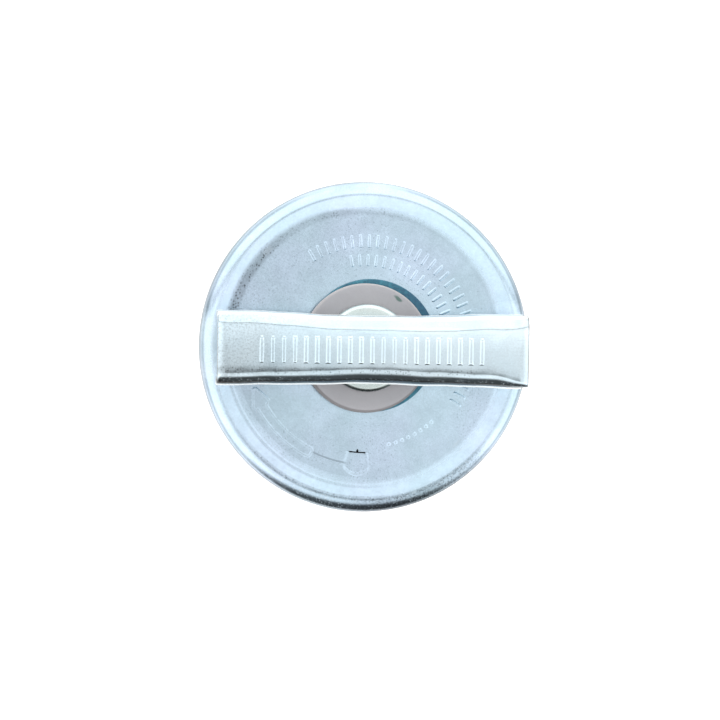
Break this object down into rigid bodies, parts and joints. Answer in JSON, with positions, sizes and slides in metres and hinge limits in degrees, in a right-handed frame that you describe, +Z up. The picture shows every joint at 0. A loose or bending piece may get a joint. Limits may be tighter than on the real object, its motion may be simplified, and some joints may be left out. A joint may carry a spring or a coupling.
{
  "type": "oil filler cap",
  "caption": "Zinc plated twist cap whose handle draws a clamp plate up to swell a rubber plug inside an engine's oil filler neck.",
  "frame": {"origin": "centre of the clamp plate's underside, on the stud's axis, at the lowest point of the cap", "axes": "+Z up along the stud, from the clamp plate to the handle; +X along the handle as the picture shows it; +Y towards the top of the picture"},
  "size_m": [0.076, 0.076, 0.0396],
  "materials": {
    "cover_zinc": "bright zinc plating",
    "handle_zinc": "bright zinc plating",
    "nut_zinc": "satin zinc plating",
    "thrust_steel": "matt grey",
    "seal_fibre": "matt teal",
    "plug_rubber": "moulded black",
    "plate_zinc": "zinc plating",
    "stud_zinc": "zinc plating"
  },
  "bodies": {
    "cap": {"cover": "cover_zinc", "seal_washer": "seal_fibre", "thrust_washer": "thrust_steel", "rubber_plug": "plug_rubber"},
    "turning_handle": {"handle": "handle_zinc", "handle_nut": "nut_zinc"},
    "clamp": {"stud": "stud_zinc", "clamp_plate": "plate_zinc"}
  },
  "joints": [
    {"name": "handle_turn", "type": "hinge", "parent": "cap", "child": "turning_handle", "pos_m": [0, 0, 0.0252], "axis": [0, 0, 1], "range_deg": [-990, 0]},
    {"name": "stud_draw", "type": "slide", "parent": "cap", "child": "clamp", "axis": [0, 0, 1], "range_m": [0, 0.00389], "deforming": ["rubber_plug"]}
  ],
  "couplings": [
    {"joint": "stud_draw", "follows": "handle_turn", "m_per_rad": -0.00022459}
  ]
}
